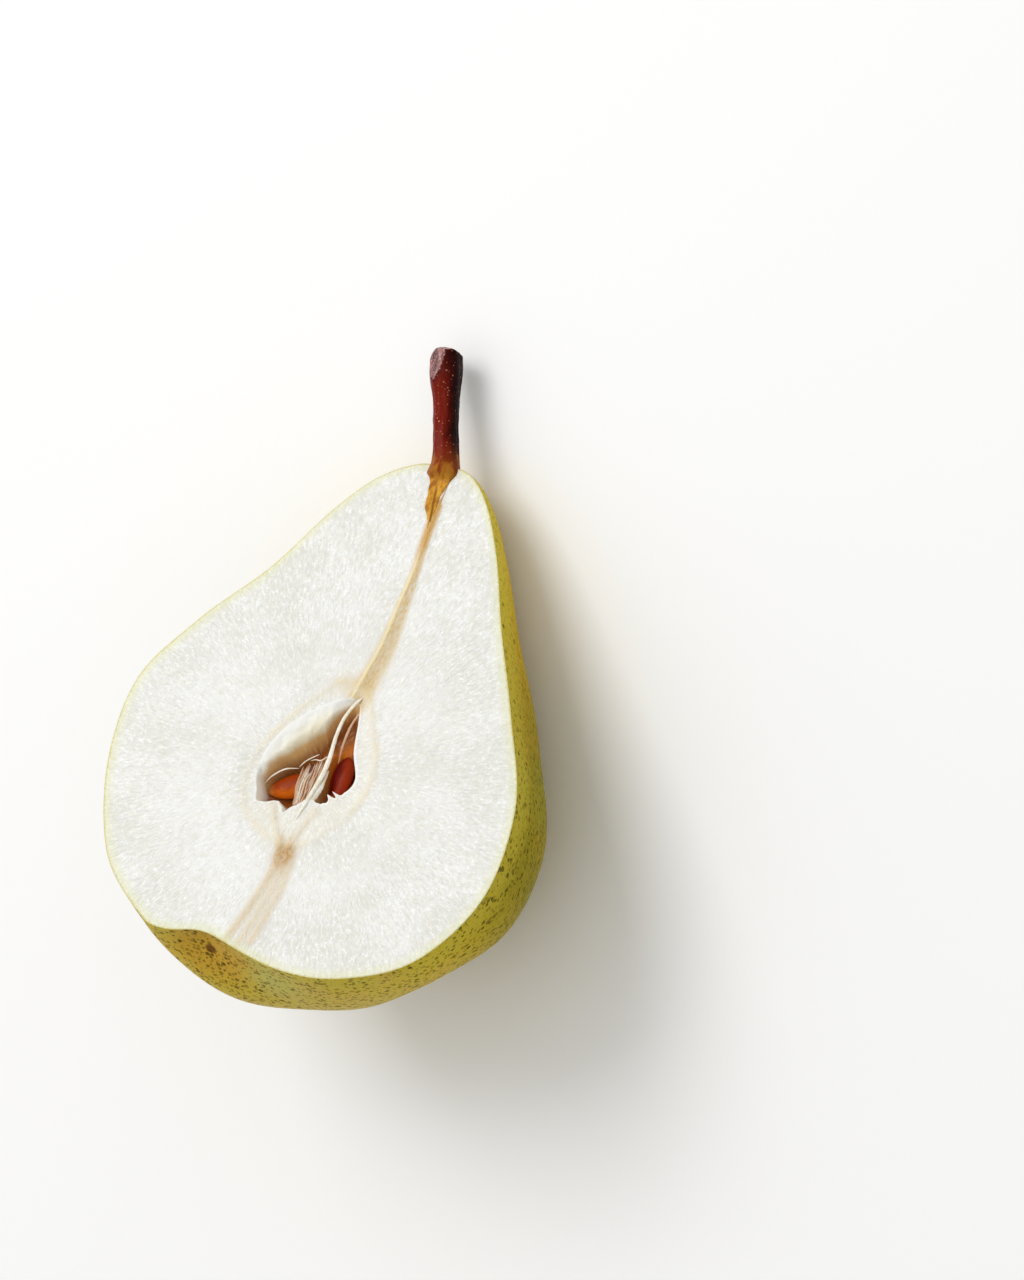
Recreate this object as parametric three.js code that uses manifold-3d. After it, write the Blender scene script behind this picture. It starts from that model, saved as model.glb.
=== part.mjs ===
// Half of a pear, cut lengthwise just in front of its axis, lying on its rounded back with the cut face up.
// Four pieces: the half fruit (flesh and skin grew as one), the woody stem, and the two seeds in the core.
//
// Pear frame, in millimetres: +X to the pear's right, +Y along its axis from the calyx eye to the stem,
// +Z out of the cut face, which lies in z = 0. The last section turns that frame to the way the half rests.
import * as THREE from "three";
import { mergeVertices } from "three/addons/utils/BufferGeometryUtils.js";
import Module from "manifold-3d";

const wasm = await Module();
wasm.setup();

// Driving dimensions, in millimetres
const MEAN_RADIUS = 36; // half the fruit's width at its belly
const FRUIT_LENGTH = 82; // calyx eye to stem pit
const CUT_OFFSET = 2; // the knife passes this far in front of the fruit's axis
const EYE_SHIFT = -3.5; // the calyx eye lies this far off the axis, to the left
const EYE_SHIFT_REACH = 14; // radius over which the base follows the eye
const LOBE_DEPTH = 0.5; // how far the five lobes of the base swell
const LOBE_FADE = 20; // height above the eye over which the lobes die away
const REST_SPOT_DEPTH = 0.45; // how much of the rounded back is pressed flat where the half rests

const STEM_RADIUS = 1.95; // halfway up
const STEM_COLLAR_RADIUS = 2.05; // where it leaves the fruit
const STEM_TIP_RADIUS = 2.4; // at the swollen end that broke off the spur
const STEM_LENGTH = 19; // crown to tip
const STEM_LEAN = 0.28; // how far the tip leans to the left, as a share of the stem's length
const STEM_TIP_HEIGHT = 4.6; // middle of the tip above the surface that the half lies on
const ROOT_LENGTH = 10; // how far the stem runs on inside the flesh
const ROOT_END_RADIUS = 0.5;
const ROOT_DEPTH = 0.7; // depth of the stem's centre below the cut face at the crown

const CORE_HEIGHT = 29.5; // middle of the core above the eye
const CORE_SHIFT = 1.5; // middle of the core to the right of the axis
const CORE_RADIUS = 8.2;
const CORE_DEPTH = 4.8; // of the open core below the cut face
const SEED_LENGTH = 7.8;
const SEED_WIDTH = 4.3;
const SEED_THICKNESS = 2.6;
const SEED_BEDDING = 0.35; // how deep a seed's underside sits in the floor of the core

const ROOT_CLEARANCE = 0.3; // between the stem's root and its socket in the flesh
const SEED_CLEARANCE = 0.4; // between a seed and its bed, measured at the seed's ends and sides

// Mesh fineness
const RING_COUNT = 48;
const SEGMENT_COUNT = 72;
const STEM_SIDES = 18;
const STEM_RINGS = 24;
const SEED_SIDES = 18;
const SEED_RINGS = 12;

// Outline of the fruit from the stem pit to the calyx eye. Each row is [radius, height] to the right of
// the axis and [radius, height] to its left, as shares of MEAN_RADIUS and FRUIT_LENGTH.
const OUTLINE = [
  { right: [0, 0.993], left: [0, 0.993] }, // stem pit
  { right: [0.11, 1.007], left: [0.1, 1.001] }, // crown
  { right: [0.256, 0.962], left: [0.267, 0.954] }, // shoulder
  { right: [0.417, 0.863], left: [0.403, 0.868] }, // neck
  { right: [0.598, 0.718], left: [0.561, 0.724] }, // waist
  { right: [0.811, 0.561], left: [0.778, 0.583] }, // flank
  { right: [1.01, 0.393], left: [0.925, 0.433] }, // belly
  { right: [1.053, 0.232], left: [0.883, 0.278] }, // hip
  { right: [0.911, 0.08], left: [0.689, 0.102] }, // haunch
  { right: [0.606, -0.006], left: [0.367, 0.002] }, // base
  { right: [0.361, -0.023], left: [0.217, -0.01] }, // rim of the calyx basin
  { right: [0, 0.012], left: [0, 0.012] }, // calyx eye
];

// Outline of the open core in the cut face, anticlockwise from its right: [x, y] from the middle of the
// core as shares of CORE_RADIUS.
const CORE_OUTLINE = [
  [0.94, -0.01],
  [0.67, 0.55],
  [0.23, 1.57], // peak, towards the stem
  [-0.62, 1.04],
  [-1.06, 0.06],
  [-0.72, -0.8],
  [-0.01, -0.79],
  [0.67, -0.44],
];

// ---- helpers ----

// A three.js geometry as a manifold-3d solid.
function solidOf(geometry) {
  const bare = geometry.index ? geometry.toNonIndexed() : geometry.clone();
  bare.deleteAttribute("normal");
  bare.deleteAttribute("uv");
  const merged = mergeVertices(bare, 1e-4);
  const mesh = new wasm.Mesh({
    numProp: 3,
    vertProperties: new Float32Array(merged.attributes.position.array),
    triVerts: new Uint32Array(merged.index.array),
  });
  return new wasm.Manifold(mesh);
}

// A manifold-3d solid as a three.js geometry.
function geometryOf(solid) {
  const mesh = solid.getMesh();
  const geometry = new THREE.BufferGeometry();
  geometry.setAttribute("position", new THREE.BufferAttribute(mesh.vertProperties, 3));
  geometry.setIndex(new THREE.BufferAttribute(mesh.triVerts, 1));
  geometry.computeVertexNormals();
  return geometry;
}

// A block that fills everything above the plane z = height, for cutting.
function blockAbove(height, yLow, yHigh) {
  const size = 4 * FRUIT_LENGTH;
  const block = new THREE.BoxGeometry(size, yHigh - yLow, size);
  return solidOf(block.translate(0, (yLow + yHigh) / 2, height + size / 2));
}

// ---- the fruit ----

function outlineCurve(side) {
  const points = OUTLINE.map((row) => {
    const [radius, height] = row[side];
    return new THREE.Vector3(radius * MEAN_RADIUS, height * FRUIT_LENGTH, 0);
  });
  return new THREE.CatmullRomCurve3(points);
}

// The whole fruit: a lathe whose profile changes smoothly from the right outline to the left as it turns.
function wholeFruit() {
  const right = outlineCurve("right");
  const left = outlineCurve("left");
  const profile = [];
  for (let ring = 0; ring <= RING_COUNT; ring++) {
    const point = right.getPoint(1 - ring / RING_COUNT);
    profile.push(new THREE.Vector2(Math.max(point.x, 0), point.y));
  }
  profile[0].x = 0;
  profile[RING_COUNT].x = 0;
  const lathe = new THREE.LatheGeometry(profile, SEGMENT_COUNT);
  const position = lathe.attributes.position;
  for (let segment = 0; segment <= SEGMENT_COUNT; segment++) {
    const angle = (2 * Math.PI * (segment % SEGMENT_COUNT)) / SEGMENT_COUNT; // 0 is the pear's right
    const toRight = (1 + Math.cos(angle)) / 2;
    for (let ring = 0; ring <= RING_COUNT; ring++) {
      const share = 1 - ring / RING_COUNT;
      const point = left.getPoint(share).lerp(right.getPoint(share), toRight);
      const onAxis = ring === 0 || ring === RING_COUNT;
      const lobe = LOBE_DEPTH * Math.sin(5 * angle) * Math.exp(-((point.y / LOBE_FADE) ** 2));
      const radius = onAxis ? 0 : point.x * (1 + lobe / MEAN_RADIUS);
      const atBase = ring < RING_COUNT / 2;
      const shift = atBase ? EYE_SHIFT * Math.exp(-((radius / EYE_SHIFT_REACH) ** 2)) : 0;
      position.setXYZ(
        segment * (RING_COUNT + 1) + ring,
        radius * Math.cos(angle) + shift,
        point.y,
        -radius * Math.sin(angle) - CUT_OFFSET,
      );
    }
  }
  return solidOf(lathe);
}

// ---- how the half rests ----

function verticesOf(solid) {
  const mesh = solid.getMesh();
  return Array.from({ length: mesh.numVert }, (_, i) =>
    new THREE.Vector3().fromArray(mesh.vertProperties, 3 * i),
  );
}

function centreOfMass(solid) {
  const sum = new THREE.Vector3();
  const [a, b, c] = [new THREE.Vector3(), new THREE.Vector3(), new THREE.Vector3()];
  const { vertProperties, triVerts } = solid.getMesh();
  let total = 0;
  for (let i = 0; i < triVerts.length; i += 3) {
    a.fromArray(vertProperties, 3 * triVerts[i]);
    b.fromArray(vertProperties, 3 * triVerts[i + 1]);
    c.fromArray(vertProperties, 3 * triVerts[i + 2]);
    const volume = a.dot(b.clone().cross(c)) / 6;
    sum.addScaledVector(a.add(b).add(c), volume / 4);
    total += volume;
  }
  return sum.divideScalar(total);
}

// The direction that points down once the half has rolled to rest, with its centre of mass lowest.
function restingDown(solid) {
  const centre = centreOfMass(solid);
  const vertices = verticesOf(solid);
  const down = new THREE.Vector3(0, 0, -1);
  for (let step = 0.3; step > 0.002; step *= 0.97) {
    let lowest = vertices[0];
    for (const vertex of vertices) {
      if (vertex.dot(down) > lowest.dot(down)) lowest = vertex;
    }
    const arm = lowest.clone().sub(centre);
    const sideways = arm.clone().addScaledVector(down, -arm.dot(down));
    down.addScaledVector(sideways, -step / arm.length()).normalize();
  }
  return down;
}

const cutFruit = wholeFruit().subtract(blockAbove(0, -FRUIT_LENGTH, 2 * FRUIT_LENGTH));
const down = restingDown(cutFruit);
const up = down.clone().negate();
const surfaceReach = Math.max(...verticesOf(cutFruit).map((vertex) => vertex.dot(down))) - REST_SPOT_DEPTH;

// Turns the pear frame so that up is +Z and the fruit's axis runs along Y.
const rowX = new THREE.Vector3(0, 1, 0).cross(up).normalize();
const turn = new THREE.Matrix4().makeBasis(rowX, up.clone().cross(rowX), up).transpose();

// ---- the stem ----

const crown = new THREE.Vector3(0.3, OUTLINE[0].right[1] * FRUIT_LENGTH, -ROOT_DEPTH);
const stemWay = wayToTip();
const stemTip = crown.clone().add(stemWay);

// The stem's centre line, from the end of its root up to its tip.
const stemLine = new THREE.CatmullRomCurve3([
  crown.clone().add(new THREE.Vector3(0.2 * ROOT_LENGTH, -ROOT_LENGTH, ROOT_DEPTH - ROOT_END_RADIUS / 2)),
  crown.clone().add(new THREE.Vector3(0.06 * ROOT_LENGTH, -0.5 * ROOT_LENGTH, 0.1)),
  crown,
  crown.clone().addScaledVector(stemWay, 0.5).add(new THREE.Vector3(-0.2, 0, -0.2)),
  stemTip,
]);

// From the crown to the tip: leaning left, and coming down to its height above the surface.
function wayToTip() {
  const sideways = -STEM_LEAN * STEM_LENGTH;
  const rise = STEM_TIP_HEIGHT - (crown.dot(up) + surfaceReach) - sideways * up.x;
  const reach = Math.sqrt(STEM_LENGTH ** 2 - sideways ** 2);
  const angle = Math.atan2(up.z, up.y) - Math.acos(rise / (reach * Math.hypot(up.y, up.z)));
  return new THREE.Vector3(sideways, reach * Math.cos(angle), reach * Math.sin(angle));
}

// The stem's radius against the share of the centre line, from 0 at the root's end to 1 at the tip.
const crownShare = 0.5;
const stemRadii = new THREE.CatmullRomCurve3([
  new THREE.Vector3(0, ROOT_END_RADIUS, 0),
  new THREE.Vector3(0.4 * crownShare, 0.62 * STEM_COLLAR_RADIUS, 0),
  new THREE.Vector3(0.8 * crownShare, STEM_COLLAR_RADIUS, 0),
  new THREE.Vector3(crownShare, STEM_COLLAR_RADIUS, 0),
  new THREE.Vector3(0.75, STEM_RADIUS, 0),
  new THREE.Vector3(0.93, 0.96 * STEM_TIP_RADIUS, 0),
  new THREE.Vector3(1, STEM_TIP_RADIUS, 0),
]);

// A closed round rod along the stem's centre line. extra widens it and lengthens it at the root end.
function stemRod(extra) {
  const rod = new THREE.CylinderGeometry(1, 1, 1, STEM_SIDES, STEM_RINGS);
  const position = rod.attributes.position;
  const vertex = new THREE.Vector3();
  for (let i = 0; i < position.count; i++) {
    vertex.fromBufferAttribute(position, i);
    const share = vertex.y + 0.5;
    const centre = stemLine.getPoint(share);
    const along = stemLine.getTangent(share);
    const side = new THREE.Vector3(0, 0, 1).cross(along).normalize();
    const up = along.clone().cross(side);
    const radius = stemRadii.getPoint(share).y + extra;
    centre.addScaledVector(side, -vertex.x * radius).addScaledVector(up, vertex.z * radius);
    if (share < 1e-6) centre.addScaledVector(along, -extra);
    position.setXYZ(i, centre.x, centre.y, centre.z);
  }
  return solidOf(rod);
}

// The knife shaved the root level with the cut face and left the free stem whole.
function stem() {
  const shaved = stemRod(0).subtract(blockAbove(0, crown.y - 2 * ROOT_LENGTH, crown.y - 1));
  const size = 8 * STEM_TIP_RADIUS;
  const broken = new THREE.BoxGeometry(size, size, size).translate(0, size / 2 - 0.25 * STEM_TIP_RADIUS, 0);
  return shaved.subtract(solidOf(broken.rotateZ(0.62).translate(stemTip.x, stemTip.y, stemTip.z)));
}

// ---- the core ----

const coreCurve = new THREE.CatmullRomCurve3(
  CORE_OUTLINE.map(([x, y]) => new THREE.Vector3(x * CORE_RADIUS, y * CORE_RADIUS, 0)),
  true,
);

// The open core: a bowl under its outline, with steep walls and a flattened floor.
function coreHollow() {
  const bowl = new THREE.SphereGeometry(1, 36, 20).rotateX(Math.PI / 2);
  const position = bowl.attributes.position;
  for (let i = 0; i < position.count; i++) {
    const [x, y, z] = [position.getX(i), position.getY(i), position.getZ(i)];
    const rim = coreCurve.getPoint((Math.atan2(y, x) / (2 * Math.PI) + 1) % 1);
    const spread = Math.hypot(x, y) ** (2 / 3);
    const depth = Math.sign(z) * Math.abs(z) ** (2 / 3) * CORE_DEPTH;
    position.setXYZ(i, CORE_SHIFT + rim.x * spread, CORE_HEIGHT + rim.y * spread, depth);
  }
  return solidOf(bowl);
}

// Where the seeds lie: x and y from the middle of the core as shares of CORE_RADIUS; turn is how far the
// seed's point is swung from the calyx towards the right, and roll tips the seed about its own length.
const PLACES = {
  seed_left: { x: -0.43, y: -0.27, turn: -1.1, roll: 0.15 },
  seed_right: { x: 0.45, y: 0.1, turn: 0.12, roll: -0.3 },
};

// A seed is drop shaped: its point is at -Y and it is flattened along Z. extra is added all round.
function seed(place, extra) {
  const profile = [];
  for (let ring = 0; ring <= SEED_RINGS; ring++) {
    const angle = (Math.PI * ring) / SEED_RINGS;
    const onAxis = ring === 0 || ring === SEED_RINGS;
    const drop = 0.86 - 0.14 * Math.cos(angle);
    const halfWidth = onAxis ? 0 : 0.5 * Math.sin(angle) ** 1.15 * drop;
    profile.push(new THREE.Vector2(halfWidth, -0.5 * Math.cos(angle)));
  }
  const shape = new THREE.LatheGeometry(profile, SEED_SIDES);
  shape.scale(SEED_WIDTH + 2 * extra, SEED_LENGTH + 2 * extra, SEED_THICKNESS + 2 * extra);
  shape.rotateY(place.roll).rotateZ(place.turn);
  const depth = 0.92 * CORE_DEPTH - SEED_THICKNESS / 2 + SEED_BEDDING;
  const [x, y] = [place.x * CORE_RADIUS + CORE_SHIFT, place.y * CORE_RADIUS + CORE_HEIGHT];
  return solidOf(shape.translate(x, y, -depth));
}

// ---- the four pieces ----

const half = cutFruit
  .subtract(stemRod(ROOT_CLEARANCE))
  .subtract(coreHollow())
  .subtract(seed(PLACES.seed_left, SEED_CLEARANCE))
  .subtract(seed(PLACES.seed_right, SEED_CLEARANCE));

// The surface presses the belly flat, and the neck just touches it too.
const surface = new THREE.BoxGeometry(200, 200, 20).translate(0, 0, -10 - surfaceReach);
const solids = {
  pear_half: half.subtract(solidOf(surface.applyMatrix4(turn.clone().invert()))),
  stem: stem(),
  seed_left: seed(PLACES.seed_left, 0),
  seed_right: seed(PLACES.seed_right, 0),
};

const seedMaterial = new THREE.MeshStandardMaterial({ color: 0x8a3a14, roughness: 0.3, metalness: 0 });
const materials = {
  pear_half: new THREE.MeshStandardMaterial({ color: 0xf2f0e6, roughness: 0.45, metalness: 0 }),
  stem: new THREE.MeshStandardMaterial({ color: 0x5a1e12, roughness: 0.4, metalness: 0 }),
  seed_left: seedMaterial,
  seed_right: seedMaterial,
};

const pear = new THREE.Group();
const box = new THREE.Box3();
for (const [name, solid] of Object.entries(solids)) {
  const mesh = new THREE.Mesh(geometryOf(solid), materials[name]);
  mesh.name = name;
  pear.add(mesh);
  for (const vertex of verticesOf(solid)) box.expandByPoint(vertex.applyMatrix4(turn));
}
pear.quaternion.setFromRotationMatrix(turn);
pear.position.set(-(box.min.x + box.max.x) / 2, -(box.min.y + box.max.y) / 2, surfaceReach);

export default pear;
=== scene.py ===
"""Half a pear on its back, cut face up: skin, wet flesh, an open core with two seeds, and a woody stem.

Shapes are worked out in the pear's own frame, in millimetres: X to the pear's right, Y from the calyx eye
to the stem, Z out of the cut face. PEAR_TO_ROW then lays them down the way the half rests.
"""
import math

import bpy
import numpy as np
from mathutils import Matrix, Vector, noise
from mathutils.bvhtree import BVHTree


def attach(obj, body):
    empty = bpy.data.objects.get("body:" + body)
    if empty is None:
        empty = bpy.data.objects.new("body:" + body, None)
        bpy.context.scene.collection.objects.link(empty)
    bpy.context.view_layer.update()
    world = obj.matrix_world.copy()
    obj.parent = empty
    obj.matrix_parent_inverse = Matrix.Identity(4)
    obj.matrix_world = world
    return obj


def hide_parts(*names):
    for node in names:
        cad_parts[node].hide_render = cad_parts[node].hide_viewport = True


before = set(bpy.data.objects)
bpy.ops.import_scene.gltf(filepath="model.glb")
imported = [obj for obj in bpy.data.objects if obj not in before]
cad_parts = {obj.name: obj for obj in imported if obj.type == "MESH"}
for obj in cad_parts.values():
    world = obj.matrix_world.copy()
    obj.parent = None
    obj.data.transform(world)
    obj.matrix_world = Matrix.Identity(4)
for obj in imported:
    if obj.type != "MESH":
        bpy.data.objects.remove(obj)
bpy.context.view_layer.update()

# ---- the frame the half lies in ----

PEAR_X = Vector((0.992003, -0.061460, -0.110243))
PEAR_Y = Vector((0.0, 0.873436, -0.486938))
PEAR_Z = Vector((0.126218, 0.483044, 0.866451))
EYE_PLACE = Vector((-1.9282, -39.4743, 49.13))
PEAR_TO_ROW = np.array([PEAR_X, PEAR_Y, PEAR_Z])
MM = 0.001

# ---- sizes, in millimetres ----

MEAN_RADIUS = 36
FRUIT_LENGTH = 82
CUT_OFFSET = 2
EYE_SHIFT = -3.5
EYE_SHIFT_REACH = 14
LOBE_DEPTH = 0.5
LOBE_FADE = 20
OUTLINE = [  # right radius, right height, left radius, left height, as shares of the two sizes above
    (0, 0.993, 0, 0.993),
    (0.11, 1.007, 0.1, 1.001),
    (0.256, 0.962, 0.267, 0.954),
    (0.417, 0.863, 0.403, 0.868),
    (0.598, 0.718, 0.561, 0.724),
    (0.811, 0.561, 0.778, 0.583),
    (1.01, 0.393, 0.925, 0.433),
    (1.053, 0.232, 0.883, 0.278),
    (0.911, 0.08, 0.689, 0.102),
    (0.606, -0.006, 0.367, 0.002),
    (0.361, -0.023, 0.217, -0.01),
    (0, 0.012, 0, 0.012),
]
CORE_MIDDLE = np.array([1.5, 29.5])
CORE_RADIUS = 8.2
CORE_DEPTH = 4.8
CORE_OUTLINE = [  # shares of the core's radius, from its middle
    (0.94, -0.01),
    (0.67, 0.55),
    (0.23, 1.57),
    (-0.62, 1.04),
    (-1.06, 0.06),
    (-0.72, -0.8),
    (-0.01, -0.79),
    (0.67, -0.44),
]
# the thread from the core to the stem, and the veins from the core to the eye
VEIN = [(2.0, 76.0), (2.9, 66.0), (3.3, 58.0), (3.5, 52.7), (3.4, 49.4), (3.0, 46.0), (2.5, 41.0)]
LOW_VEINS = [
    [(1.9, 18.0), (3.0, 13.5), (2.4, 7.8), (1.3, 2.5), (0.5, -0.5)],
    [(3.5, 17.5), (4.2, 12.5), (3.9, 7.0), (3.2, 1.5), (2.9, 0.0)],
    [(4.8, 16.0), (5.6, 11.5), (5.5, 7.5), (5.0, 3.0), (4.8, 1.0)],
    [(-1.9, 23.0), (-0.6, 20.6), (1.2, 18.2), (2.4, 16.8)],
    [(5.4, 23.6), (4.6, 21.0), (4.0, 18.6), (3.8, 17.0)],
]
TORN_TONGUES = [  # bearing round the core, half width, and reach inwards of each torn tongue of flesh
    (-2.05, 0.13, 1.2),
    (-2.32, 0.1, -0.5),
    (-1.74, 0.06, -0.9),
    (-1.3, 0.2, 1.2),
    (-1.06, 0.09, 0.9),
    (-0.58, 0.045, 1.2),
    (-0.42, 0.03, 1.5),
]
PALE_WALL = [  # bearing round the core, and how far in from the lip its wall stays white
    (1.3, 0.0),
    (1.45, 0.4),
    (1.6, 2.2),
    (1.75, 4.2),
    (2.09, 3.9),
    (2.79, 2.9),
    (3.23, 1.1),
    (3.5, 0.3),
    (3.7, 0.0),
]
CORE_RIDGE = [(2.6, 20.0), (2.4, 27.0), (2.3, 33.0)]  # between the core's two chambers
CORE_RING = [  # the cream line that lies in the flesh round the core
    (11.7, 31.6), (10.8, 34.6), (8.4, 38.4), (4.9, 43.4), (0.4, 44.6), (-3.4, 40.6),
    (-5.9, 36.2), (-8.0, 31.0), (-8.4, 26.4), (-7.1, 22.3), (-4.2, 19.6), (-0.7, 17.8),
    (2.9, 16.9), (6.7, 18.5), (8.7, 21.1), (10.5, 23.6), (11.7, 27.2),
]

BELLY = [  # bearing round the core in degrees, how far the swell reaches either way, and its height
    (-104, 19, 2.5),
    (-40, 20, -3.0),
    (14, 26, 1.7),
    (52, 24, 2.1),
]
EYE_MIDDLE = (-3.5, -0.5, -4.5)
FRESH_PATCH = (6.5, -1.5, -7.0)  # the green patch beside the eye
FAR = 30.0  # the distance stored where a mark does not reach

AROUND = 384  # points round the rim
CORE_RINGS = 34
FLESH_RINGS = 112
SKIN_RINGS = 82
ALL_RINGS = CORE_RINGS + FLESH_RINGS + SKIN_RINGS
UNCUT_RINGS, UNCUT_TURNS = 200, 256
RIM_LOOKS = 1440  # directions in which the rim is first sought
OUTSIDE = 130.0  # a distance that is outside the fruit in every direction


# ---- shape helpers ----

def to_row(points):
    """Points of the pear's frame, in millimetres, as points of the row's frame in metres."""
    return (np.asarray(points, float) @ PEAR_TO_ROW + np.array(EYE_PLACE)) * MM


def through(points, share, closed=False):
    """A point on the smooth curve through the given points."""
    points = [np.array(p, float) for p in points]
    count = len(points)
    place = (count if closed else count - 1) * share
    first = min(int(place), count - (1 if closed else 2))
    part = place - first
    if closed:
        a, b, c, d = (points[(first + k) % count] for k in (-1, 0, 1, 2))
    else:
        b, c = points[first], points[first + 1]
        a = points[first - 1] if first > 0 else 2 * b - c
        d = points[first + 2] if first + 2 < count else 2 * c - b
    gaps = [max(np.sum((q - p) ** 2) ** 0.25, 1e-4) for p, q in ((a, b), (b, c), (c, d))]
    rise = (b - a) / gaps[0] - (c - a) / (gaps[0] + gaps[1]) + (c - b) / gaps[1]
    fall = (c - b) / gaps[1] - (d - b) / (gaps[1] + gaps[2]) + (d - c) / gaps[2]
    rise, fall = rise * gaps[1], fall * gaps[1]
    return (
        b
        + rise * part
        + (3 * (c - b) - 2 * rise - fall) * part**2
        + (2 * (b - c) + rise + fall) * part**3
    )


def smooth(low, high, value):
    """0 at low, 1 at high, and an even turn between."""
    share = np.clip((value - low) / (high - low), 0, 1)
    return share * share * (3 - 2 * share)


def spot(xy, middle, size):
    """A soft round mark: 1 in its middle and almost 0 beyond its size."""
    return np.exp(-np.sum(((xy - middle) / size) ** 2, axis=1))


def away_from(path, xy):
    """How far each point of the cut face is from a path of points."""
    path = np.array([through(path, k / 40) for k in range(41)])
    best = np.full(len(xy), 1e9)
    for start, end in zip(path[:-1], path[1:]):
        way = end - start
        share = np.clip(((xy - start) @ way) / (way @ way), 0, 1)
        best = np.minimum(best, np.linalg.norm(xy - start - share[:, None] * way, axis=1))
    return best


def beside(path, xy):
    """Signed distance across a path that runs along the fruit, and far off beyond its two ends."""
    line = np.array([through(path, k / 60) for k in range(61)])
    line = line[np.argsort(line[:, 1])]
    offset = xy[:, 0] - np.interp(xy[:, 1], line[:, 1], line[:, 0])
    beyond = np.maximum(0, np.maximum(line[0, 1] - xy[:, 1], xy[:, 1] - line[-1, 1]))
    return offset + np.where(offset < 0, -beyond, beyond)


def rough(points, size, octaves=3):
    """Even, seedless noise from about -1 to 1 with grains of the given size."""
    return np.array([noise.fractal(Vector(p) / size, 0.9, 2.1, octaves) for p in points])


# ---- bpy.ops helpers ----

def drop_selection():
    if bpy.context.object and bpy.context.object.mode != "OBJECT":
        bpy.ops.object.mode_set(mode="OBJECT")
    bpy.ops.object.select_all(action="DESELECT")


def finish_piece(name, degrees=60):
    piece = bpy.context.object
    piece.name = piece.data.name = name
    bpy.ops.object.shade_smooth_by_angle(angle=math.radians(degrees))
    return piece


def set_points(piece, points):
    piece.data.vertices.foreach_set("co", np.asarray(points, np.float32).ravel())
    piece.data.update()


def points_of(piece):
    points = np.zeros(len(piece.data.vertices) * 3, np.float32)
    piece.data.vertices.foreach_get("co", points)
    return points.reshape(-1, 3).astype(float)


def mark(piece, name, values):
    """Stores a number on each point of a piece for its material to read."""
    layer = piece.data.attributes.new(name, "FLOAT", "POINT")
    layer.data.foreach_set("value", np.asarray(values, np.float32))


# ---- the half fruit ----

def closed_faces(rings, turns):
    """The four-sided faces between rings of points that close on themselves."""
    faces = []
    for ring in range(rings):
        low, high = ring * turns, (ring + 1) * turns
        for turn in range(turns):
            after = (turn + 1) % turns
            faces.append((low + turn, low + after, high + after, high + turn))
    return faces


def whole_fruit_tree():
    """The uncut fruit as a tree to shoot rays at."""
    rings = UNCUT_RINGS
    profile = np.array([through(OUTLINE, k / rings) for k in range(rings + 1)])
    angles = np.arange(UNCUT_TURNS) * 2 * math.pi / UNCUT_TURNS
    weight = (1 + np.cos(angles)) / 2
    radius = np.outer(profile[:, 0], weight) + np.outer(profile[:, 2], 1 - weight)
    height = np.outer(profile[:, 1], weight) + np.outer(profile[:, 3], 1 - weight)
    radius, height = radius * MEAN_RADIUS, height * FRUIT_LENGTH
    lobes = LOBE_DEPTH * np.sin(5 * angles) * np.exp(-((height / LOBE_FADE) ** 2))
    radius = np.maximum(radius, 0) * (1 + lobes / MEAN_RADIUS)
    base = (np.arange(rings + 1) > rings / 2)[:, None]
    shift = base * EYE_SHIFT * np.exp(-((radius / EYE_SHIFT_REACH) ** 2))
    x = radius * np.cos(angles) + shift
    z = -radius * np.sin(angles) - CUT_OFFSET
    points = np.stack([x, height, z], -1).reshape(-1, 3)
    return BVHTree.FromPolygons([Vector(p) for p in points], closed_faces(rings, UNCUT_TURNS))


FRUIT = whole_fruit_tree()


def skin_point(direction):
    """Where the skin is, seen from the middle of the core."""
    middle = Vector((CORE_MIDDLE[0], CORE_MIDDLE[1], 0))
    hit = FRUIT.ray_cast(middle + direction * OUTSIDE, -direction)[0]
    return np.array(hit)


def belly_fullness(bearing, tilt):
    """How far the skin stands out from an even pear: nothing at the rim and nothing underneath."""
    fullness = 0
    for middle, reach, height in BELLY:
        away = (math.degrees(bearing) - middle + 180) % 360 - 180
        fullness += height * math.exp(-((away / reach) ** 2))
    return fullness * math.sin(math.pi * min(1, tilt / 1.25)) ** 1.2


def rim_points():
    """Evenly spaced points round the cut, where skin and flesh meet."""
    angles = np.arange(RIM_LOOKS) * 2 * math.pi / RIM_LOOKS
    rim = np.array([skin_point(Vector((math.cos(a), math.sin(a), 0)))[:2] for a in angles])
    steps = np.linalg.norm(np.diff(np.vstack([rim, rim[:1]]), axis=0), axis=1)
    walked = np.concatenate([[0], np.cumsum(steps)])
    wanted = np.arange(AROUND) / AROUND * walked[-1]
    rim = np.vstack([rim, rim[:1]])
    return np.stack([np.interp(wanted, walked, rim[:, k]) for k in (0, 1)], 1)


def reach_of(path, angles):
    """Radius of a closed path round the core's middle, at each angle."""
    ring = np.array([through(path, k / 240, closed=True) for k in range(240)])
    bearing = np.arctan2(ring[:, 1], ring[:, 0])
    order = np.argsort(bearing)
    return np.interp(angles, bearing[order], np.linalg.norm(ring, axis=1)[order], period=2 * math.pi)


def core_reach(angles):
    """Radius of the open core, with its torn lower margin."""
    reach = reach_of(np.array(CORE_OUTLINE) * CORE_RADIUS, angles)
    torn = smooth(-2.9, -2.2, angles) * (1 - smooth(-0.6, 0.1, angles))
    reach -= torn * (0.1 + 0.08 * np.sin(angles * 19) + 0.05 * np.sin(angles * 47 + 1))
    for angle, width, length in TORN_TONGUES:
        reach -= length * np.exp(-(((angles - angle) / width) ** 2))
    return reach


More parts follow.
